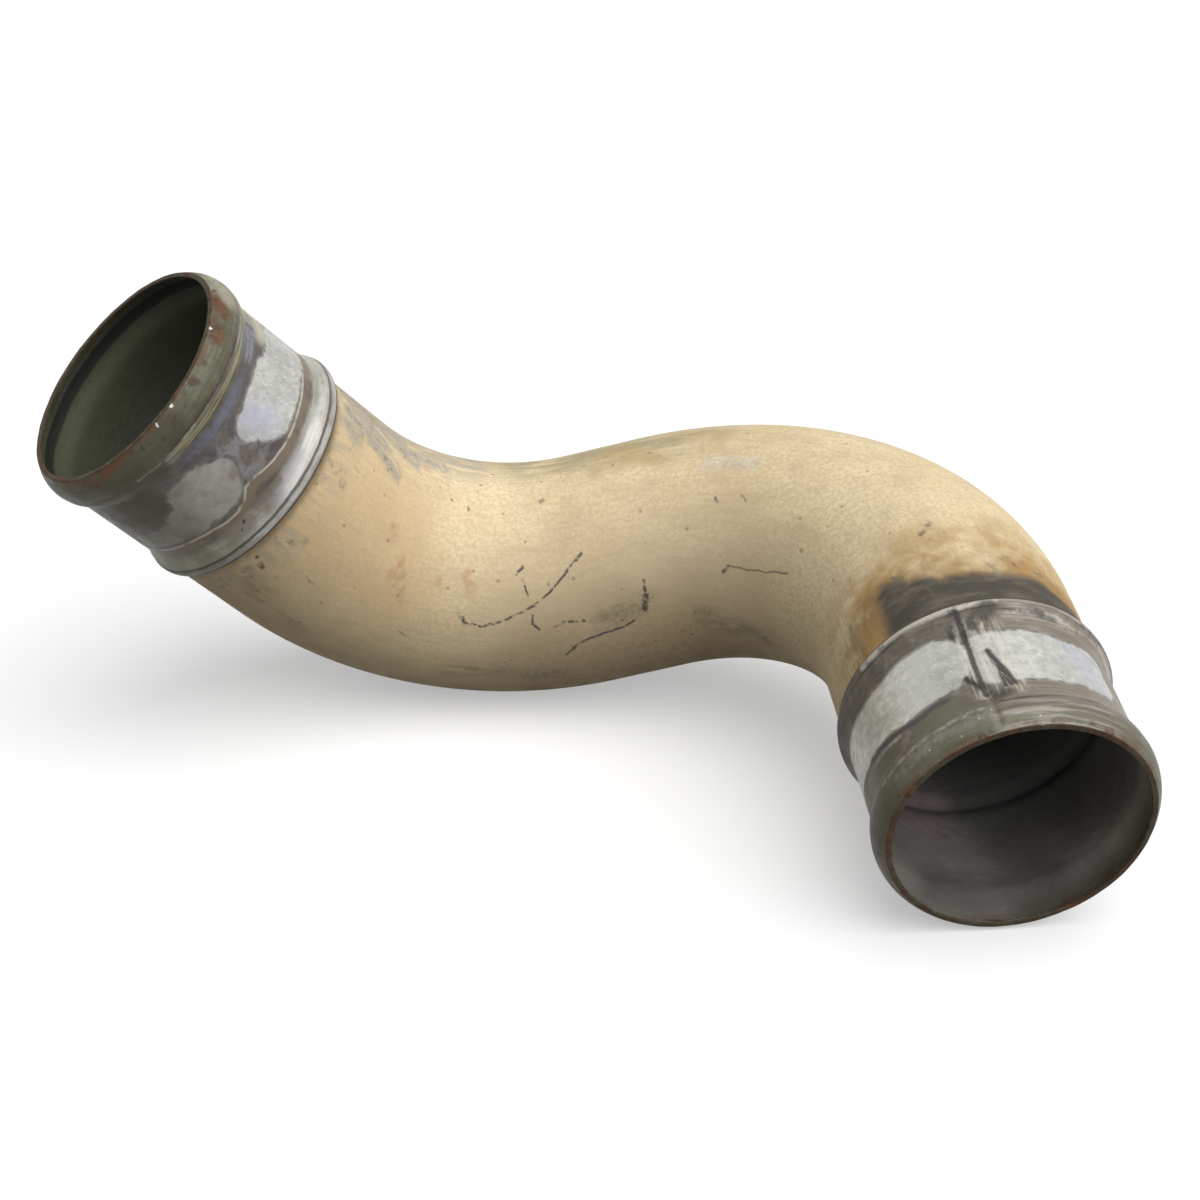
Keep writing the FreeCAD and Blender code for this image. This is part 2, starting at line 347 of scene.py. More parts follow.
def shared(tree, effect, **inputs):
    """The first output of a shared effect, placed in a material with its own values."""
    return add(tree, "ShaderNodeGroup", inputs, node_tree=effect).outputs[0]


# Effects that the finishes share

# Noise: how rough it is, its finest features to the metre, and how many finer layers of it there are
GRAIN_ROUGHNESS = 0.6
FINEST_GRAIN = 1500.0
MOST_DETAIL, STREAK_DETAIL, EDGE_DETAIL = 4, 3.0, 3.0
# Features to the metre of the waver and the fray of an uneven edge
WAVER_SCALE, FRAY_SCALE = 55.0, 330.0
# Half of the layout's width round the pipe, with more room than it needs in its other directions
HALF_ROUND = (1000.0, 180.0 * ARC_PER_DEGREE, 1000.0)
# What each speck's size is at least, as a share, and the share of it that is solid
SPECK_LEAST, SPECK_CORE = 0.35, 0.6


def make_grain():
    """Grain: fractal noise, stretched to run from 0 at a low level to 1 at a high one."""
    inputs = {"Point": "Vector", "Scale": "Float", "Detail": "Float", "Low": "Float", "High": "Float"}
    tree, given, result = group("grain", inputs, {"Grain": "Float"})
    noise = add(tree, "ShaderNodeTexNoise", {"Vector": given["Point"], "Scale": given["Scale"],
                                             "Detail": given["Detail"], "Roughness": GRAIN_ROUGHNESS})
    tree.links.new(step(tree, noise.outputs[0], given["Low"], given["High"]), result["Grain"])
    return tree


def make_ragged():
    """Ragged: the layout moved by a slow waver and a fine fray, so that edges drawn on it are uneven."""
    inputs = {"Layout": "Vector", "Point": "Vector", "Waver": "Float", "Fray": "Float"}
    tree, given, result = group("ragged", inputs, {"Layout": "Vector"})
    moved = given["Layout"]
    for scale, amount in ((WAVER_SCALE, given["Waver"]), (FRAY_SCALE, given["Fray"])):
        inputs = {"Vector": given["Point"], "Scale": scale, "Detail": EDGE_DETAIL}
        noise = add(tree, "ShaderNodeTexNoise", inputs)
        centred = vector(tree, "SUBTRACT", noise.outputs[1], (0.5, 0.5, 0.5))
        flat = vector(tree, "MULTIPLY", centred, (2.0, 2.0, 0.0))
        moved = vector(tree, "ADD", moved, scaled(tree, flat, amount))
    tree.links.new(moved, result["Layout"])
    return tree


def make_patch():
    """Patch: a box with rounded corners on the layout, as 1 less a smooth step of the distance from it.

    The distance goes the short way round the pipe.
    """
    inputs = {"Layout": "Vector", "Middle": "Vector", "Half": "Vector", "Round": "Float", "Edge": "Float"}
    tree, given, result = group("patch", inputs, {"Mask": "Float"})
    across = vector(tree, "SUBTRACT", given["Layout"], given["Middle"])
    short_way = vector(tree, "WRAP", across, HALF_ROUND, tuple(-half for half in HALF_ROUND))
    offset = vector(tree, "ABSOLUTE", short_way)
    core = vector(tree, "SUBTRACT", given["Half"], given["Round"])
    outside = vector(tree, "MAXIMUM", vector(tree, "SUBTRACT", offset, core), (0.0, 0.0, 0.0))
    distance = calc(tree, "SUBTRACT", scalar(tree, "LENGTH", outside), given["Round"])
    inner = calc(tree, "MULTIPLY", given["Edge"], -1.0)
    tree.links.new(step(tree, distance, inner, given["Edge"], 1.0, 0.0), result["Mask"])
    return tree


def make_stroke():
    """Stroke: a line between two places on the layout, as 1 less a smooth step of the distance from it."""
    inputs = {"Layout": "Vector", "From": "Vector", "To": "Vector", "Width": "Float", "Edge": "Float"}
    tree, given, result = group("stroke", inputs, {"Mask": "Float"})
    whole = vector(tree, "SUBTRACT", given["To"], given["From"])
    part = vector(tree, "SUBTRACT", given["Layout"], given["From"])
    covered = scalar(tree, "DOT_PRODUCT", part, whole)
    share = calc(tree, "DIVIDE", covered, scalar(tree, "DOT_PRODUCT", whole, whole))
    share = add(tree, "ShaderNodeClamp", {0: share}).outputs[0]
    distance = scalar(tree, "LENGTH", vector(tree, "SUBTRACT", part, scaled(tree, whole, share)))
    outer = calc(tree, "ADD", given["Width"], given["Edge"])
    inner = calc(tree, "SUBTRACT", given["Width"], given["Edge"])
    tree.links.new(step(tree, distance, inner, outer, 1.0, 0.0), result["Mask"])
    return tree


def make_specks():
    """Specks: round spots in a share of the cells of a cell pattern, each of its own size."""
    inputs = {"Point": "Vector", "Scale": "Float", "Share": "Float", "Size": "Float"}
    tree, given, result = group("specks", inputs, {"Mask": "Float"})
    cells = add(tree, "ShaderNodeTexVoronoi", {"Vector": given["Point"], "Scale": given["Scale"]})
    parts = add(tree, "ShaderNodeSeparateColor", {0: cells.outputs["Color"]}).outputs
    chosen = calc(tree, "LESS_THAN", parts[0], given["Share"])
    size = calc(tree, "MULTIPLY", given["Size"], calc(tree, "ADD", parts[1], SPECK_LEAST))
    core = calc(tree, "MULTIPLY", size, SPECK_CORE)
    spot = step(tree, cells.outputs["Distance"], core, size, 1.0, 0.0)
    tree.links.new(calc(tree, "MULTIPLY", chosen, spot), result["Mask"])
    return tree


GRAIN = make_grain()
RAGGED = make_ragged()
PATCH = make_patch()
STROKE = make_stroke()
SPECKS = make_specks()

# Angles that take in the whole turn, and a depth that takes in the flat layout
WHOLE_TURN = (-400.0, 400.0)
FLAT_DEPTH = 1000.0


class Finish:
    """The node tree of one finish, with short ways to draw masks on the pipe's layout."""

    def __init__(self, name):
        """Starts a material and the places to draw masks on: in space, on the layout, and made straight."""
        self.material = bpy.data.materials.new(name)
        self.material.use_nodes = True
        self.tree = self.material.node_tree
        self.shader = self.tree.nodes["Principled BSDF"]
        self.point = add(self.tree, "ShaderNodeTexCoord").outputs["Object"]
        self.layout = add(self.tree, "ShaderNodeUVMap", uv_map="Layout").outputs[0]
        along, arc, _ = add(self.tree, "ShaderNodeSeparateXYZ", {0: self.layout}).outputs
        turn = calc(self.tree, "DIVIDE", arc, TUBE_RADIUS)
        upright, across = (calc(self.tree, "MULTIPLY", calc(self.tree, wave, turn), TUBE_RADIUS)
                           for wave in ("COSINE", "SINE"))
        self.straight = add(self.tree, "ShaderNodeCombineXYZ", {0: along, 1: upright, 2: across}).outputs[0]

    def grain(self, scale, low=0.35, high=0.65):
        """Grain in space, at a number of features to the metre, and finer ones as far as they show."""
        detail = min(round(math.log2(FINEST_GRAIN / scale)), MOST_DETAIL)
        return shared(self.tree, GRAIN, Point=self.point, Scale=scale, Detail=detail, Low=low, High=high)

    def streaks(self, length, width, turn=0.0, low=0.4, high=0.62):
        """Grain drawn out to a length and a width in millimetres, on the pipe made straight.

        With a turn in degrees, it is drawn out on the layout and turned there.
        """
        place = self.layout if turn else self.straight
        inputs = {0: place, 2: (0.0, 0.0, math.radians(turn)), 3: (length, width, width)}
        drawn_out = add(self.tree, "ShaderNodeMapping", inputs, vector_type="TEXTURE").outputs[0]
        return shared(self.tree, GRAIN, Point=drawn_out, Scale=1.0, Detail=STREAK_DETAIL,
                      Low=low, High=high)

    def ragged(self, waver, fray):
        """The layout with uneven edges, by distances in millimetres."""
        return shared(self.tree, RAGGED, Layout=self.layout, Point=self.point, Waver=waver, Fray=fray)

    def patch(self, layout, along, around, edge, corner=0.0):
        """A box between two distances along and two angles around.

        Its edge is soft for a distance to each side, and its corners are round; both are in millimetres.
        """
        (start, end), (low, high) = along, around
        middle = ((start + end) / 2, (low + high) / 2 * ARC_PER_DEGREE, 0.0)
        half = ((end - start) / 2, (high - low) / 2 * ARC_PER_DEGREE, FLAT_DEPTH)
        rounding = min(max(corner, edge), half[0], half[1])
        edge = min(edge, rounding)
        return shared(self.tree, PATCH, Layout=layout, Middle=middle, Half=half, Round=rounding, Edge=edge)

    def band(self, layout, along, edge):
        """A ring right round the pipe, between two distances along it."""
        return self.patch(layout, along, WHOLE_TURN, edge)

    def line(self, layout, places, width, edge):
        """A line through places, each a distance along and an angle around: the largest of its strokes."""
        ends = [(along, around * ARC_PER_DEGREE, 0.0) for along, around in places]
        strokes = [shared(self.tree, STROKE, Layout=layout, From=start, To=end, Width=width, Edge=edge)
                   for start, end in zip(ends, ends[1:])]
        return self.most(*strokes)

    def blob(self, layout, limbs, edge):
        """A rounded shape: the largest of some thick strokes, each of two places and a half width."""
        return self.most(*[self.line(layout, (start, end), width, edge) for start, end, width in limbs])

    def specks(self, scale, share, size):
        """Round spots, at a number of cells to the metre."""
        return shared(self.tree, SPECKS, Point=self.point, Scale=scale, Share=share, Size=size)

    def tools(self):
        """The ways to draw masks by themselves: patch, band, blob, line, grain and streaks."""
        return self.patch, self.band, self.blob, self.line, self.grain, self.streaks

    def fold(self, operation, masks):
        """One mask out of several, by a Math operation."""
        result = masks[0]
        for mask in masks[1:]:
            result = calc(self.tree, operation, result, mask)
        return result

    def times(self, *masks):
        """The product of masks: what they have in common."""
        return self.fold("MULTIPLY", masks)

    def most(self, *masks):
        """The largest of masks: all of them side by side."""
        return self.fold("MAXIMUM", masks)

    def total(self, *masks):
        """The sum of masks."""
        return self.fold("ADD", masks)

    def outline(self, mask):
        """A line along a mask's edge: 1 where the mask is one half."""
        return self.times(mask, calc(self.tree, "MULTIPLY_ADD", mask, -4.0, 4.0))

    def between(self, mask, low, high):
        """A value that goes from low to high as a mask goes from 0 to 1."""
        return calc(self.tree, "MULTIPLY_ADD", mask, high - low, low)

    def coat(self, low, high, mask):
        """The first colour of a coat, mottled between two colours."""
        return Coat(self, blend(self.tree, mask, low, high))

    def bump(self, height, depth):
        """A normal from a height, where 1 stands for a depth in millimetres."""
        return add(self.tree, "ShaderNodeBump", {"Height": height, "Distance": depth * MM}).outputs[0]

    def set(self, **sockets):
        """Sets or links the shader's sockets; _ in a name stands for a space."""
        for key, value in sockets.items():
            put(self.tree, self.shader.inputs[key.replace("_", " ")], value)


class Coat:
    """A colour that is built up in layers."""

    def __init__(self, finish, colour):
        """Starts with a first colour in a finish."""
        self.finish = finish
        self.colour = colour

    def lay(self, tint, *masks):
        """Lays a colour over the last, as far as all the masks let it through; a number is a strength."""
        self.colour = blend(self.finish.tree, self.finish.times(*masks), self.colour, tint)


def from_second(far, near):
    """Two distances along the pipe, of places that are measured back from the second rim."""
    return TUBE_LENGTH - far, TUBE_LENGTH - near


# Colours of the bare ends, as linear red, green and blue
# The next colour is painted light for the second end's lower bright patch
PAINTED_LIGHT_STEEL = (0.72, 0.72, 0.66)
# Bright steel of the worn patches, and the colour of painted highlights on the stop beads
BRIGHT = (0.54, 0.545, 0.515)
SILVER = (0.43, 0.43, 0.405)
DULL_SILVER = (0.33, 0.318, 0.29)
BLUISH = (0.44, 0.45, 0.53)
LAVENDER = (0.255, 0.24, 0.258)
STAIN = (0.094, 0.082, 0.080)
UMBER = (0.155, 0.135, 0.108)
PURPLE_BROWN = (0.225, 0.193, 0.155)
PALE_OLIVE = (0.44, 0.41, 0.31)
OLIVE = (0.142, 0.143, 0.094)
DARK_OLIVE = (0.070, 0.065, 0.041)
BLUE_GREY = (0.15, 0.154, 0.188)
OLIVE_YELLOW = (0.33, 0.315, 0.17)
TAN_STRIP = (0.20, 0.162, 0.115)
RIDGE = (0.52, 0.48, 0.41)
# Cream of the seam's surround, and of a painted highlight along the second stop bead's crest
CREAM = (0.60, 0.57, 0.49)
PINK_GREY = (0.40, 0.365, 0.325)
# Near black: painted shade in grooves and at the paint's edge, and also dark pits, smudges and smears
CREVICE = (0.032, 0.029, 0.025)
RUST = (0.118, 0.053, 0.024)
DARK_RUST = (0.048, 0.027, 0.017)
RIM_RUST = (0.066, 0.038, 0.022)
FLECK = (0.80, 0.79, 0.76)

# Colours of the paint and of what is on it
TAN = (0.70, 0.562, 0.335)
PALE_TAN = (0.78, 0.65, 0.42)
ORANGE_TAN = (0.61, 0.42, 0.225)
DIM_TAN = (0.54, 0.42, 0.25)
MAUVE_TAN = (0.50, 0.39, 0.275)
BROWN = (0.27, 0.175, 0.09)
GREY_SCUFF = (0.33, 0.32, 0.29)
GREEN_GRIME = (0.34, 0.305, 0.19)
DARK_GRIME = (0.20, 0.17, 0.115)
OCHRE = (0.45, 0.33, 0.145)
PALE_SCRAPE = (0.68, 0.665, 0.62)
RUST_TINT = (0.46, 0.22, 0.105)
HALO = (0.37, 0.222, 0.075)
GREASE = (0.054, 0.053, 0.046)
THIN_GREASE = (0.135, 0.122, 0.096)
MARKER = (0.045, 0.040, 0.050)

# Levels between which a worn patch begins, from none to all
WORN_LEVEL = (1.26, 1.38)


class BareSteel(Finish):
    """A finish of bare steel, with the grain and the uneven edges that both ends of the pipe have."""

    def __init__(self, name):
        """Starts the finish with three uneven layouts, from rough to calm, and four kinds of grain."""
        super().__init__(name)
        self.rough = self.ragged(2.2, 0.9)
        self.loose = self.ragged(1.6, 0.35)
        self.calm = self.ragged(0.45, 0.28)
        self.coarse = self.grain(60.0, 0.38, 0.6)
        self.medium = self.grain(150.0)
        self.fine = self.grain(380.0, 0.3, 0.7)
        self.rings = self.streaks(0.8, 15.0, low=0.36, high=0.64)

    def basics(self):
        """The three layouts and the four kinds of grain."""
        return self.rough, self.loose, self.calm, self.coarse, self.medium, self.fine, self.rings

    def worn_steel(self, flecked):
        """The colour of steel that is rubbed bright, with pale flecks as strong as given."""
        worn = self.coat(SILVER, BRIGHT, self.grain(110.0, 0.3, 0.6))
        worn.lay(DULL_SILVER, self.fine, 0.6)
        worn.lay(FLECK, self.streaks(1.0, 3.0, turn=50, low=0.56, high=0.7), flecked)
        return worn.colour

    def worn_through(self, along, around):
        """Ragged bright patches in a box: a soft box and some grain, added up and cut off at a level."""
        box = self.patch(self.loose, along, around, 6.0, 8)
        return step(self.tree, self.total(box, self.grain(38.0, 0.3, 0.7)), *WORN_LEVEL)

    def show(self, steel, bright):
        """Gives the shader the steel's colour, with more of a metal's shine where it is bright."""
        height = self.total(self.grain(560.0, 0.2, 0.8), self.medium)
        self.set(Base_Color=steel.colour, Metallic=self.between(bright, 0.08, 0.38),
                 Roughness=self.between(self.medium, 0.38, 0.52),
                 Normal=self.bump(height, 0.02), Specular_IOR_Level=0.2)


def first_end_finish():
    """The first end: an olive lip, stained bands, bright worn patches and a silver stop bead, with painted
    highlights on the bead, painted shade in its grooves, and a lower side darkened partly by painted shade.
    """
    finish = BareSteel("first_end_steel")
    patch, band, blob, line, grain, streaks = finish.tools()
    rough, loose, calm, coarse, medium, fine, rings = finish.basics()
    steel = finish.coat(STAIN, UMBER, medium)
    steel.lay(PALE_OLIVE, patch(rough, (12, 48), (-110, -30), 4.0, 6), coarse)
    # Darker towards the lower side: partly grime, partly painted shade
    steel.lay(DARK_OLIVE, patch(rough, (5, 27), (64, 190), 4.0, 6))
    yellow_band = finish.coat(DULL_SILVER, OLIVE_YELLOW, coarse)
    steel.lay(yellow_band.colour, patch(calm, (9.4, 13.4), (-70, 48), 0.9, 2), rings)
    # The yellow band goes dark on its lower side: partly grime, partly painted shade
    steel.lay(DARK_OLIVE, patch(calm, (9.6, 14), (48, 190), 1.6, 2))
    blue_band = finish.coat(BLUE_GREY, STAIN, grain(100.0, 0.38, 0.66))
    blue_band.lay(BLUISH, patch(loose, (13, 18), (-34, -12), 1.6, 3), rings, 0.6)
    steel.lay(blue_band.colour, patch(loose, (13.6, 17.6), (-38, 46), 1.2, 2))
    steel.lay(STAIN, patch(calm, (12.9, 18.8), (-60, 70), 0.8), finish.times(rings, fine), 0.8)

    worn = finish.worn_steel(flecked=0.45)
    upper = blob(loose, [((30.0, -44), (28.8, -16), 7.8), ((28.2, -14), (28.0, 1), 9.2),
                         ((24.6, 3), (24.8, 13), 5.0), ((30.5, 2), (29.5, 7), 5.6)], 0.8)
    lower = blob(loose, [((27.6, 46), (28.0, 53), 9.2), ((29.6, 56), (31.4, 66), 6.4),
                         ((32.6, 68), (33.0, 98), 4.2), ((26.5, 36), (26.0, 44), 4.6)], 1.0)
    hidden = finish.worn_through((17, 38.6), (112, 300))
    between = patch(rough, (20, 35), (13, 42), 3.5, 5)
    steel.lay(LAVENDER, between, streaks(4.0, 6.0, turn=-30, low=0.42, high=0.64), 0.85)
    steel.lay(worn, finish.most(upper, hidden))
    steel.lay(BLUISH, upper, blob(rough, [((23.5, 9), (29.0, 5), 4.5)], 3.5), 0.7)
    dull = finish.coat(DULL_SILVER, PURPLE_BROWN, grain(130.0, 0.42, 0.72))
    dull.lay(SILVER, blob(rough, [((26.0, 42), (30.0, 50), 6.0)], 5.0), fine, 0.5)
    # Darker on this patch's lower side: partly grime, partly painted shade
    dull.lay(OLIVE, patch(rough, (15, 40), (62, 130), 8.0, 8), 0.5)
    steel.lay(dull.colour, lower)
    steel.lay(STAIN, finish.outline(finish.most(upper, lower)), fine, 0.8)

    ridge = [(37.4, -100), (37.6, -28), (38.3, 0), (38.0, 12), (37.0, 22), (35.4, 30), (35.3, 36),
             (38.0, 41), (39.3, 47), (39.3, 55), (38.5, 62), (38.0, 72), (38.4, 92), (37.6, 180)]
    strip = [(along + 1.6, around) for along, around in ridge]
    steel.lay(TAN_STRIP, line(loose, strip, 1.6, 1.0), grain(120.0, 0.28, 0.52), 0.9)
    stop = finish.coat(DULL_SILVER, SILVER, grain(130.0, 0.35, 0.6))
    stop.lay(PURPLE_BROWN, rings, 0.55)
    # Painted highlight on the stop bead's flank
    stop.lay(BRIGHT, patch(calm, (44.2, 46.4), (-60, 26), 1.0, 1), medium, 0.7)
    stop.lay(PALE_OLIVE, patch(rough, (40, 52), (-110, -30), 4.0, 4), coarse, 0.8)
    # Browner and darker olive towards the bead's bottom: partly stain, partly painted shade
    stop.lay(UMBER, patch(rough, (40.5, 47.5), (30, 190), 3.0, 3), grain(90.0, 0.38, 0.6), 0.8)
    stop.lay(OLIVE, patch(rough, (38, 53), (64, 200), 8.0, 8), 0.7)
    steel.lay(stop.colour, band(loose, (41.6, 60), 0.9))
    steel.lay(LAVENDER, blob(rough, [((43.6, 8), (44.4, 34), 1.6)], 1.4), 0.55)
    steel.lay(UMBER, blob(rough, [((42.4, 24), (42.8, 40), 1.5)], 1.2), coarse)
    pits = [((42.5, 48.6), (42.9, 49.2), 0.4), ((44, 52), (44.2, 52.4), 0.2)]
    steel.lay(CREVICE, blob(loose, pits, 0.4))
    steel.lay(RIDGE, line(calm, ridge, 0.36, 0.28), grain(200.0, 0.25, 0.5), 0.85)
    lip = finish.coat(OLIVE, DARK_OLIVE, grain(120.0, 0.35, 0.7))
    lip.lay(DARK_OLIVE, rings, 0.6)
    lip.lay(DARK_OLIVE, fine, 0.25)
    lip.lay(PALE_OLIVE, patch(rough, (1, 9), (-90, -30), 3.0, 4), coarse, 0.6)
    # Darker on the lip's lower side: partly grime, partly painted shade
    lip.lay(DARK_OLIVE, patch(rough, (-5, 9), (26, 200), 9.0, 9), 0.7)
    lip_rust = [((0, -36), (4.0, -25), 2.2), ((0, -19), (3.6, -11), 2.0), ((0, 60), (1.4, 76), 1.8)]
    lip.lay(RUST, blob(rough, lip_rust, 1.0), grain(190.0, 0.32, 0.54), 0.95)
    lip.lay(RUST, band(rough, (-8, 1.2), 1.2), grain(75.0, 0.42, 0.56), 0.8)
    lip.lay(DARK_RUST, band(rough, (-8, 4.2), 1.6), grain(260.0, 0.5, 0.66), 0.75)
    steel.lay(lip.colour, band(calm, (-5, 8.3), 0.4))
    # Painted shade in the fine groove behind the lip
    steel.lay(CREVICE, patch(calm, (8.2, 8.9), (-30, 44), 0.4), coarse, 0.8)
    steel.lay(RIDGE, patch(calm, (8.8, 9.3), (26, 62), 0.3), fine, 0.5)
    # Painted shade in the fine groove on the stop bead
    steel.lay(CREVICE, band(calm, (47.4, 48.2), 0.35), 0.8)
    # Painted highlight: a thin bright line along the stop bead's crest
    steel.lay(BRIGHT, patch(calm, (48.7, 49.8), (-200, 56), 0.35), medium, 0.8)
    flecks = [((0.3, -15.4), (0.9, -14.8), 0.35), ((0.1, 25.8), (0.7, 26.4), 0.5),
              ((0.6, 36.8), (1.2, 37.4), 0.2)]
    steel.lay(FLECK, blob(loose, flecks, 0.25))
    # Painted shade in the crease at the stop bead's foot, where the paint begins
    steel.lay(CREVICE, band(finish.layout, (50.0, 60.0), 0.3), 0.8)
    finish.show(steel, finish.most(upper, hidden, band(calm, (43, 47.4), 0.6)))
    return finish.material


def second_end_finish():
    """The second end: a scratched lip, a wide bright patch with a dark seam, and an umber stop bead, with
    painted highlights on the bead, painted shade in its grooves, and a lower side darkened partly by
    painted shade.
    """
    finish = BareSteel("second_end_steel")
    patch, band, blob, line, grain, streaks = finish.tools()
    rough, loose, calm, coarse, medium, fine, rings = finish.basics()
    steel = finish.coat(UMBER, PURPLE_BROWN, patch(rough, (340, 420), (-150, -46), 8.0, 8))
    steel.lay(DARK_OLIVE, rings, 0.35)
    steel.lay(DULL_SILVER, grain(140.0, 0.52, 0.72), 0.4)
    steel.lay(OLIVE, patch(rough, from_second(19, 8), (-25, 190), 4.0, 5), coarse)
    # Darker towards the lower side: partly grime, partly painted shade
    steel.lay(DARK_OLIVE, patch(rough, from_second(48, 8), (34, 190), 10.0, 10), 0.7)
    worn = finish.worn_steel(flecked=0.5)
    upper = patch(loose, from_second(38.6, 18.4), (-98, -31), 0.9, 5)
    lower = blob(loose, [((376.6, -18), (377.0, 1), 10.6), ((376.4, 6), (375.0, 52), 9.4)], 1.0)
    hidden = finish.worn_through(from_second(39, 17), (80, 250))
    bright = finish.most(upper, lower, hidden)
    steel.lay(worn, bright)
    # Painted shade and light on the bright patches: duller and purple-brown towards the lower side, and a
    # pale tint as painted light on the lower patch
    shaded = patch(rough, from_second(40, 16), (24, 80), 9.0, 9)
    steel.lay(DULL_SILVER, bright, shaded, 0.2)
    steel.lay(PURPLE_BROWN, bright, patch(rough, from_second(40, 16), (54, 90), 9.0, 9))
    steel.lay(PAINTED_LIGHT_STEEL, lower, patch(rough, (340, 420), (-12, 60), 8.0, 8), fine, 0.9)
    steel.lay(BLUISH, upper, blob(rough, [((374, -84), (383, -86), 4.5)], 3.5), 0.5)
    steel.lay(STAIN, finish.outline(bright), fine, 0.8)
    stain_edge = [(389.0, -18), (389.2, -4), (387.2, 10), (385.6, 26), (384.4, 50)]
    steel.lay(STAIN, line(rough, stain_edge, 1.0, 0.8))
    steel.lay(SILVER, line(calm, [(389.8, 6), (388.6, 16), (387.8, 28)], 0.7, 0.5), fine, 0.8)

    shoulder = finish.coat(PINK_GREY, PURPLE_BROWN, rings)
    steel.lay(shoulder.colour, patch(loose, from_second(47.6, 43.8), (-140, -52), 1.2, 2))
    steel.lay(UMBER, band(calm, from_second(60, 47.9), 0.4), 0.8)
    steel.lay(PINK_GREY, patch(loose, from_second(60, 47.9), (-140, -52), 0.9, 2), rings)
    # Painted highlights: a cream line along the stop bead's crest, and a bright streak on its front flank
    steel.lay(CREAM, patch(loose, from_second(50.2, 48.2), (-52, 12), 0.7, 1), 0.8)
    steel.lay(BRIGHT, line(loose, [(362.0, -60), (361.4, -84)], 0.6, 0.5), medium)
    steel.lay(STAIN, band(rough, from_second(51, 43.5), 1.0), grain(200.0, 0.52, 0.64), 0.6)
    # Painted shade in the fine groove on the stop bead
    steel.lay(CREVICE, band(calm, from_second(47.9, 47.2), 0.35), coarse, 0.8)

    seam_zone = patch(rough, from_second(44, 12), (-50, -29), 2.4, 4)
    steel.lay(CREAM, seam_zone, streaks(9.0, 1.0), 0.7)
    smudges = finish.most(
        blob(rough, [((361, -47), (366, -38), 2.8), ((361, -33), (367, -30), 1.6),
                     ((362, -50), (362.6, -76), 0.8)], 1.4),
        blob(rough, [((393.4, -42), (395.6, -37), 2.2), ((389, -33), (393, -34), 1.2)], 1.6))
    steel.lay(CREVICE, smudges, grain(170.0, 0.3, 0.52), 0.8)
    smears = finish.most(
        line(calm, [(360, SEAM_AROUND), (393, SEAM_AROUND + 1)], 0.8, 0.45),
        blob(loose, [((376.5, -40.2), (390.0, -45.8), 0.9), ((379, -41.2), (390.4, -43.8), 0.9),
                     ((382, -42.0), (390.6, -41.8), 0.8)], 0.6),
        line(loose, [(384.5, -28.6), (390, -32)], 0.8, 0.6))
    steel.lay(CREVICE, smears, streaks(7.0, 0.8, turn=-20, low=0.24, high=0.44), 0.92)

    lip = finish.coat(OLIVE, UMBER, medium)
    lip.lay(DARK_OLIVE, rings, 0.4)
    lip.lay(DULL_SILVER, patch(rough, from_second(8, 4), (-32, 24), 2.0, 2), fine, 0.45)
    scratched = patch(rough, from_second(9, -5), (-86, -32), 5.0, 6)
    lip.lay(PINK_GREY, scratched, streaks(1.3, 18.0, low=0.42, high=0.7), 0.75)
    # Darker on the lip's lower side: partly grime, partly painted shade
    lip.lay(DARK_OLIVE, patch(rough, from_second(9, -5), (16, 200), 8.0, 8), 0.85)
    steel.lay(lip.colour, band(calm, from_second(8.6, -5), 0.4))
    # Painted shade in the fine groove behind the lip
    steel.lay(CREVICE, patch(calm, from_second(9.5, 8.7), (-120, -36), 0.4), coarse, 0.7)
    steel.lay(BRIGHT, patch(calm, from_second(8.9, 7.6), (-30, 22), 0.6), fine, 0.55)
    steel.lay(FLECK, patch(calm, from_second(8, 1), (-60, 20), 1.0, 2),
              finish.specks(900.0, 0.12, 0.3), 0.4)
    rim_rust = band(rough, from_second(1.3, -8), 1.2)
    steel.lay(RUST, rim_rust, grain(75.0, 0.42, 0.56), 0.85)
    steel.lay(DARK_RUST, rim_rust, grain(260.0, 0.5, 0.66), 0.75)
    # Painted shade in the crease at the stop bead's foot, where the paint begins
    steel.lay(CREVICE, band(finish.layout, from_second(60.0, 50.0), 0.3), 0.8)
    finish.show(steel, bright)
    return finish.material


# Marks on the paint: lines through places, each a distance along and an angle around, and the limbs of
# blobs, each two places and a half width
MARKER_STROKES = [
    [(131, 38), (133.5, 42), (141, 43), (150, 39), (160, 33), (168, 27), (176, 20), (185, 11)],
    [(155.5, 15), (158.2, 22), (159.4, 27)],
    [(161, 37), (160.6, 42), (163.5, 45)],
    [(168, 44), (173, 42.5), (180, 43.5)],
    [(202, 30), (201.4, 40), (198, 48.5), (192, 52), (183, 53), (176, 55), (171, 61)],
]
MARKER_DABS = [
    ((154, 17), (157.6, 13.4), 0.6), ((201.6, 37), (199.4, 46), 0.9), ((133, 39), (134, 42.6), 0.5),
]
SCRATCH = [(246, 27), (258, 27), (268, 26), (282, 22)]
SMALL_SCRATCHES = [
    ((112.5, 55), (117, 57)), ((208, 62), (213, 62.5)), ((72, 53), (76, 54)), ((320, 3), (325, 4)),
    ((248, -7), (251, -4)),
]
DARK_SPOTS = [
    ((128, -14), (128.4, -12), 0.8), ((168.8, -20), (170.5, -20.5), 0.8), ((55.6, 60), (56, 60.4), 0.7),
    ((58, 61.6), (60, 62.8), 0.9), ((243.4, 30), (246, 27.4), 0.7), ((206, -3), (206.4, -2.4), 0.5),
    ((117.6, -17), (118, -16.6), 0.5), ((237, -5), (238, -3), 0.6), ((318, -40), (322, -34), 0.9),
]
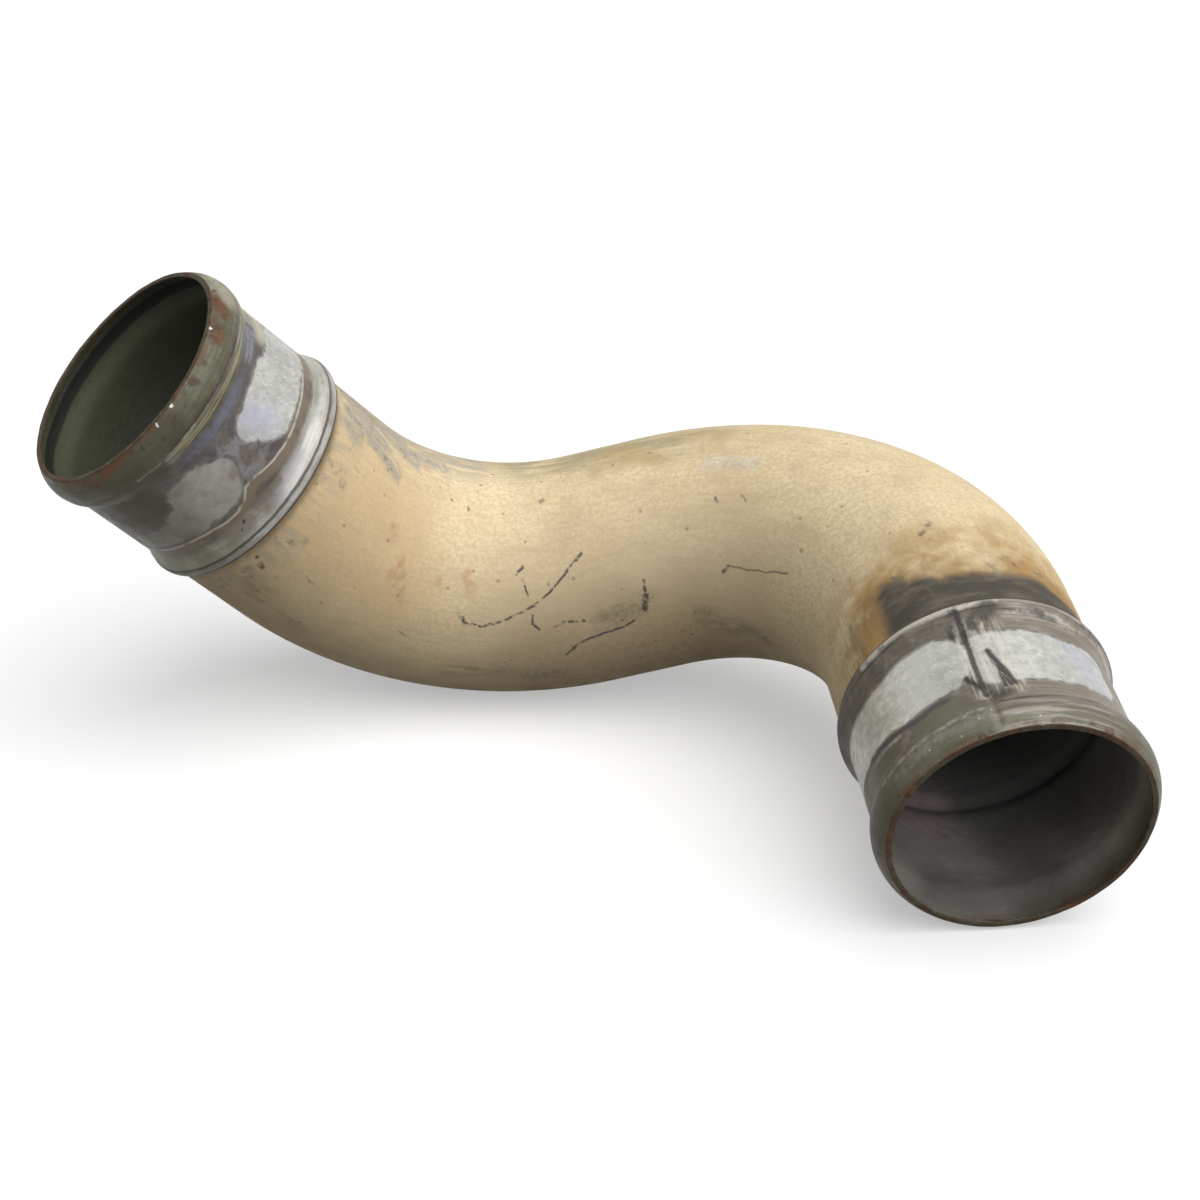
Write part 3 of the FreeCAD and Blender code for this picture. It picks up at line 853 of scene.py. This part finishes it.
RUST_SPOTS = [
    ((99, 25), (105, 34), 4.2), ((118.5, 14), (119.5, 30), 1.6), ((132, 20), (134, 24), 2.6),
    ((101, -32), (103.5, -31), 1.3), ((165, -24), (169, -20), 1.6), ((88, 8), (90, 12), 2.0),
    ((208, -150), (216, -140), 4.5), ((292, -122), (297, -130), 3.0), ((92, 150), (98, 156), 3.6),
]
SCUFF_LIMBS = [
    ((60, -31), (67, -24), 4.0), ((66, -38), (74, -27), 3.6), ((70, -23), (80, -16), 3.2),
    ((76, -38), (94, -32), 3.4), ((57, -22), (62, -17), 2.2), ((92, -37), (114, -38), 2.4),
    ((60, -46), (86, -42), 4.0),
    ((250, -138), (284, -124), 4.0), ((128, 146), (156, 158), 4.4), ((300, 128), (322, 140), 3.4),
]
GRIME_LIMBS = [
    ((228, 56), (262, 66), 4.5), ((186, 46), (200, 41), 4.0), ((134, 72), (166, 76), 4.0),
    ((62, 72), (84, 84), 5.0),
]
# Wide soft patches on the paint: colour, distances along, angles around, soft edge, corners and strength;
# the pale tan row is painted light, and the two brown rows are partly painted shade
PAINT_SHADES = [
    (ORANGE_TAN, (40, 116), (-20, 62), 16.0, 20, 0.6),
    (MAUVE_TAN, (140, 280), (2, 80), 22.0, 24, 0.55),
    # Painted light: pale tan that lifts the lower side of the second bend
    (PALE_TAN, (280, 350), (8, 80), 14.0, 16, 0.9),
    # The two brown rows darken the lower side: partly grime, partly painted shade
    (BROWN, (-50, 460), (78, 205), 24.0, 24, 0.55),
    (BROWN, (150, 236), (38, 120), 16.0, 20, 0.45),
]


def paint_finish():
    """Worn tan paint, with scuffs, stains, grease by the second end, specks and a marker's strokes, and
    painted shade and light on its lower side and at its edges.
    """
    finish = Finish("worn_tan_paint")
    patch, band, blob, line, grain, streaks = finish.tools()
    rough = finish.ragged(2.2, 0.9)
    soft = finish.ragged(8.0, 2.0)
    wobbly = finish.ragged(0.7, 0.7)
    coarse = grain(60.0, 0.38, 0.6)
    medium = grain(150.0)
    fine = grain(380.0, 0.3, 0.7)
    coat = finish.coat(TAN, PALE_TAN, grain(26.0))
    long_streaks = streaks(28.0, 2.6)
    coat.lay(MAUVE_TAN, grain(95.0, 0.4, 0.72), 0.45)
    coat.lay(PALE_TAN, long_streaks, 0.4)
    for tint, along, around, edge, corner, strength in PAINT_SHADES:
        coat.lay(tint, patch(soft, along, around, edge, corner), strength)
    grimed = blob(rough, GRIME_LIMBS, 4.0)
    coat.lay(DARK_GRIME, grimed, streaks(14.0, 4.0, low=0.35, high=0.62), 0.65)
    coat.lay(PALE_TAN, patch(rough, (118, 190), (-46, -30), 4.0, 6), 0.5)
    grimy = streaks(26.0, 3.4, low=0.32, high=0.56)
    coat.lay(GREEN_GRIME, patch(soft, (144, 230), (-98, -38), 9.0, 16), grimy, 0.9)
    coat.lay(GREY_SCUFF, patch(soft, (46, 140), (-98, -37), 9.0, 16), grimy, 0.9)
    coat.lay(OCHRE, patch(rough, (188, 236), (-56, -27), 5.0, 8), coarse, 0.65)
    coat.lay(BROWN, patch(rough, (176, 226), (-52, -30), 5.0, 8), finish.specks(420.0, 0.3, 0.3), 0.5)
    scuffed = streaks(8.0, 2.4, turn=35, low=0.35, high=0.48)
    scuffs = blob(rough, SCUFF_LIMBS, 2.0)
    coat.lay(GREY_SCUFF, scuffs, scuffed, 0.9)
    coat.lay(DARK_GRIME, scuffs, grain(260.0, 0.54, 0.66), 0.7)
    scored = streaks(11.0, 0.7, turn=20, low=0.58, high=0.66)
    coat.lay(DARK_GRIME, patch(rough, (56, 122), (-62, -14), 5.0, 8), scored, 0.6)
    scraped = streaks(12.0, 0.9, turn=14, low=0.56, high=0.66)
    coat.lay(PALE_SCRAPE, patch(rough, (58, 130), (-56, -22), 5.0, 8), scraped, 0.5)
    coat.lay(PALE_SCRAPE, patch(rough, (230, 252), (-30, -22), 2.0, 2), fine, 0.65)
    coat.lay(GREY_SCUFF, blob(rough, [((238, -24), (249, -23.5), 1.3)], 1.0), medium, 0.7)
    coat.lay(RUST_TINT, blob(rough, RUST_SPOTS, 2.2), grain(230.0, 0.4, 0.62), 0.6)
    # Brown beside the first stop bead: partly dirt, partly a painted shadow of the bead
    coat.lay(BROWN, band(rough, (44, 53.6), 2.2), 0.7)
    coat.lay(GREY_SCUFF, band(rough, (44, 62), 5.0), streaks(9.0, 2.0), 0.5)
    coat.lay(DARK_GRIME, band(rough, (40, 66), 8.0), grain(170.0, 0.56, 0.7), 0.7)

    coat.lay(DIM_TAN, grain(800.0, 0.36, 0.68), 0.5)
    coat.lay(MAUVE_TAN, streaks(12.0, 0.7, low=0.5, high=0.72), 0.4)
    coat.lay(MARKER, finish.specks(120.0, 0.10, 0.05), 0.6)
    coat.lay(BROWN, finish.specks(260.0, 0.28, 0.17), 0.55)
    coat.lay(PALE_SCRAPE, finish.specks(230.0, 0.08, 0.13), 0.5)

    halo = patch(soft, from_second(84, 44), (-110, 30), 14.0, 18)
    coat.lay(HALO, halo, grain(55.0, 0.32, 0.56), 0.92)
    stained = patch(rough, from_second(73, 44), (-12, 20), 4.0, 6)
    coat.lay(BROWN, stained, streaks(16.0, 4.0, low=0.38, high=0.64), 0.75)
    browned = patch(rough, from_second(70, 44), (-112, -4), 9.0, 10)
    coat.lay(BROWN, browned, grain(70.0, 0.25, 0.6), 0.85)
    grease = finish.most(
        patch(rough, from_second(65, 38), (-86, -24), 2.6, 6),
        blob(rough, [((340.5, -13), (353, -13), 5.4), ((345.5, -24), (354, -20), 6.6),
                     ((351, -80), (357, -106), 6.5)], 2.2))
    film = finish.coat(GREASE, THIN_GREASE, streaks(5.0, 16.0, low=0.45, high=0.75))
    coat.lay(film.colour, grease, grain(230.0, 0.08, 0.3), 0.95)
    smeared = blob(rough, [((336, -14), (346, -30), 4.5), ((338, -60), (340, -88), 3.5)], 4.0)
    coat.lay(THIN_GREASE, smeared, grain(280.0, 0.5, 0.64), 0.6)

    skips = grain(420.0, 0.36, 0.54)
    marks = finish.most(*[line(wobbly, places, 0.46, 0.28) for places in MARKER_STROKES])
    coat.lay(MARKER, finish.most(marks, blob(wobbly, MARKER_DABS, 0.4)), skips, 0.85)
    coat.lay(MARKER, line(wobbly, SCRATCH, 0.28, 0.22), 0.65)
    coat.lay(MARKER, blob(wobbly, DARK_SPOTS, 0.5), fine, 0.85)
    nicks = finish.most(*[line(wobbly, ends, 0.34, 0.3) for ends in SMALL_SCRATCHES])
    coat.lay(MARKER, nicks, fine, 0.7)
    # Painted shade: a dark line at each paint edge, in the crease at a stop bead's foot
    first_edge = band(finish.layout, (40.0, 50.9), 0.4)
    second_edge = band(finish.layout, from_second(50.9, 40.0), 0.4)
    coat.lay(CREVICE, finish.most(first_edge, second_edge), 0.8)
    fine_height = finish.between(grain(560.0, 0.2, 0.8), 0.0, 0.12)
    height = finish.total(fine_height, finish.between(medium, 0.0, 0.14))
    finish.set(Base_Color=coat.colour, Roughness=finish.between(medium, 0.6, 0.74),
               Normal=finish.bump(height, 0.16), Specular_IOR_Level=0.15)
    return finish.material


def rim_finish():
    """The cut rims: rusty edges with some bare steel."""
    finish = Finish("rusty_rim")
    grain = finish.grain
    edge = finish.coat(RIM_RUST, DARK_OLIVE, grain(90.0, 0.4, 0.58))
    edge.lay(RUST, grain(140.0, 0.52, 0.64), 0.8)
    edge.lay(DARK_RUST, grain(300.0, 0.45, 0.65), 0.8)
    edge.lay(PINK_GREY, finish.specks(200.0, 0.10, 0.35), 0.4)
    finish.set(Base_Color=edge.colour, Metallic=0.1, Roughness=0.65,
               Normal=finish.bump(grain(700.0), 0.1), Specular_IOR_Level=0.2)
    return finish.material


# Colours of the inside
BORE_GREEN = (0.066, 0.072, 0.042)
BORE_GREY = (0.205, 0.19, 0.17)
BORE_SCUFF = (0.31, 0.255, 0.245)
BORE_DARK = (0.045, 0.045, 0.042)
BORE_DEEP = (0.19, 0.195, 0.19)
# Near black: painted shade in the mouths
BORE_PAINTED_SHADE = (0.014, 0.014, 0.013)
BORE_LIP = (0.10, 0.095, 0.07)
# Distances along between which the green film begins, from none to all
GREEN_FADE = (220.0, 120.0)
# Patches in the second mouth: colour, distances along, angles around, soft edge, corners and strength; the
# first three rows are painted shade, and the pale olive row is painted light
MOUTH_SHADES = [
    (BORE_PAINTED_SHADE, from_second(54, 47), (126, 240), 3.0, 3, 0.4),
    (BORE_PAINTED_SHADE, from_second(44, 18), (134, 190), 9.0, 12, 0.5),
    (BORE_DARK, from_second(20, 7), (94, 165), 5.0, 6, 0.6),
    (PALE_OLIVE, from_second(17, 3), (186, 245), 5.0, 6, 0.3),
    (BORE_GREEN, from_second(10, 0), (140, 240), 3.0, 3, 0.5),
]


def bore_finish():
    """The inside: a dark film on the steel, greenish at the first mouth and scuffed grey at the second,
    with painted shade and painted light in the mouths and painted light in the deep run.
    """
    finish = Finish("filmed_bore")
    patch, band, _, _, grain, streaks = finish.tools()
    along = add(finish.tree, "ShaderNodeSeparateXYZ", {0: finish.layout}).outputs[0]
    film = finish.coat(BORE_GREY, BORE_GREEN, step(finish.tree, along, *GREEN_FADE))
    film.lay(BORE_DARK, grain(60.0, 0.3, 0.8), 0.35)
    ragged = finish.ragged(3.0, 1.0)
    calm = finish.ragged(0.5, 0.2)
    second_mouth = band(ragged, from_second(50, -8), 12.0)
    film.lay(BORE_SCUFF, second_mouth, streaks(6.0, 14.0, low=0.5, high=0.75), 0.5)
    film.lay(BORE_SCUFF, second_mouth, streaks(0.7, 9.0, turn=15, low=0.58, high=0.7), 0.35)
    # A paler film over the deep run: painted light that lifts the dim inside
    film.lay(BORE_DEEP, band(ragged, (40, TUBE_LENGTH - 38), 20.0), 0.85)
    # Scuffed and paler on the left of the second mouth: partly scuffs, partly painted light
    scuffs = patch(ragged, from_second(62, 32), (80, 126), 7.0, 9)
    film.lay(BORE_SCUFF, scuffs, streaks(9.0, 3.0, turn=60, low=0.25, high=0.55), 0.95)
    for tint, place, around, edge, corner, strength in MOUTH_SHADES:
        film.lay(tint, patch(ragged, place, around, edge, corner), strength)
    film.lay(BORE_LIP, band(calm, (-8, 4.6), 0.9), grain(110.0, 0.3, 0.6), 0.8)
    # Painted shade: near black in the hollow of the first mouth's lip
    film.lay(BORE_PAINTED_SHADE, band(calm, (4.4, 8.3), 0.45), 0.85)
    mouths = finish.most(band(ragged, (-8, 1.6), 1.4), band(ragged, from_second(5, -8), 2.5))
    film.lay(RUST, mouths, grain(90.0, 0.42, 0.6), 0.8)
    finish.set(Base_Color=film.colour, Metallic=0.05, Roughness=0.65,
               Normal=finish.bump(grain(300.0), 0.1), Specular_IOR_Level=0.2)
    return finish.material


# The studio
FLOOR_HALF = 6.0
FLOOR_SEEN, FLOOR_BOUNCE = (0.60, 0.60, 0.60), (0.18, 0.18, 0.18)
FLOOR_GLOW, FLOOR_ROUGHNESS = 0.42, 0.9
WORLD_LIGHT, WORLD_SEEN = 0.22, 1.0
LAMP_FROM = Vector((0.42, -0.40, 1.0))
LAMP_STRENGTH, LAMP_SPREAD = 3.4, math.radians(80)


def seen_directly(tree):
    """1 for rays from the camera, a mirror or glass, and 0 for the light that falls on the object."""
    path = add(tree, "ShaderNodeLightPath").outputs
    seen = calc(tree, "MAXIMUM", path["Is Camera Ray"], path["Is Glossy Ray"])
    return calc(tree, "MAXIMUM", seen, path["Is Transmission Ray"])


def make_floor():
    """A plain pale floor, which looks paler to the camera than to the pipe above it."""
    corners = np.array([(-1, -1, 0), (1, -1, 0), (1, 1, 0), (-1, 1, 0)]) * FLOOR_HALF
    mesh = bpy.data.meshes.new("floor")
    mesh.from_pydata(corners, [], [(0, 1, 2, 3)])
    material = bpy.data.materials.new("pale_floor")
    material.use_nodes = True
    tree = material.node_tree
    shader = tree.nodes["Principled BSDF"]
    seen = seen_directly(tree)
    tree.links.new(blend(tree, seen, FLOOR_BOUNCE, FLOOR_SEEN), shader.inputs["Base Color"])
    tree.links.new(calc(tree, "MULTIPLY", seen, FLOOR_GLOW), shader.inputs["Emission Strength"])
    shader.inputs["Emission Color"].default_value = (1, 1, 1, 1)
    shader.inputs["Roughness"].default_value = FLOOR_ROUGHNESS
    shader.inputs["Specular IOR Level"].default_value = 0.0
    mesh.materials.append(material)
    floor = bpy.data.objects.new("floor", mesh)
    bpy.context.scene.collection.objects.link(floor)


def make_lights():
    """A white world, and one very wide soft lamp from overhead, a little to the right and the front."""
    scene = bpy.context.scene
    scene.world = bpy.data.worlds.new("studio")
    scene.world.use_nodes = True
    tree = scene.world.node_tree
    background = tree.nodes["Background"]
    inputs = {0: seen_directly(tree), 2: WORLD_LIGHT, 3: WORLD_SEEN}
    strength = add(tree, "ShaderNodeMix", inputs).outputs[0]
    tree.links.new(strength, background.inputs["Strength"])
    background.inputs["Color"].default_value = (1, 1, 1, 1)
    lamp = bpy.data.lights.new("overhead", "SUN")
    lamp.energy = LAMP_STRENGTH
    lamp.angle = LAMP_SPREAD
    overhead = bpy.data.objects.new("overhead", lamp)
    overhead.rotation_mode = "QUATERNION"
    overhead.rotation_quaternion = (-LAMP_FROM).to_track_quat("-Z", "Y")
    scene.collection.objects.link(overhead)


CAMERA_EYE = Vector((9.4, -596.6, 344.6)) * MM
CAMERA_AIM = Vector((9.4, 23.3, 48.8)) * MM
CAMERA_ROLL = math.radians(1.64)
CAMERA_LENS, CAMERA_SENSOR = 65.45, 36.0
CAMERA_NEAR = 0.01


def make_camera():
    """The photograph's camera: above the front of the pipe, tilted a little to one side."""
    data = bpy.data.cameras.new("camera")
    data.lens = CAMERA_LENS
    data.sensor_width = CAMERA_SENSOR
    data.clip_start = CAMERA_NEAR
    camera = bpy.data.objects.new("camera", data)
    camera.location = CAMERA_EYE
    camera.rotation_mode = "QUATERNION"
    level = (CAMERA_AIM - CAMERA_EYE).to_track_quat("-Z", "Y")
    camera.rotation_quaternion = level @ Quaternion((0, 0, 1), CAMERA_ROLL)
    bpy.context.scene.collection.objects.link(camera)
    bpy.context.scene.camera = camera


pipe = make_pipe([paint_finish(), first_end_finish(), second_end_finish(), rim_finish(), bore_finish()])
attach(pipe, "root")
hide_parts("coolant_pipe")
make_floor()
make_lights()
make_camera()
bpy.context.scene.view_settings.view_transform = "Standard"
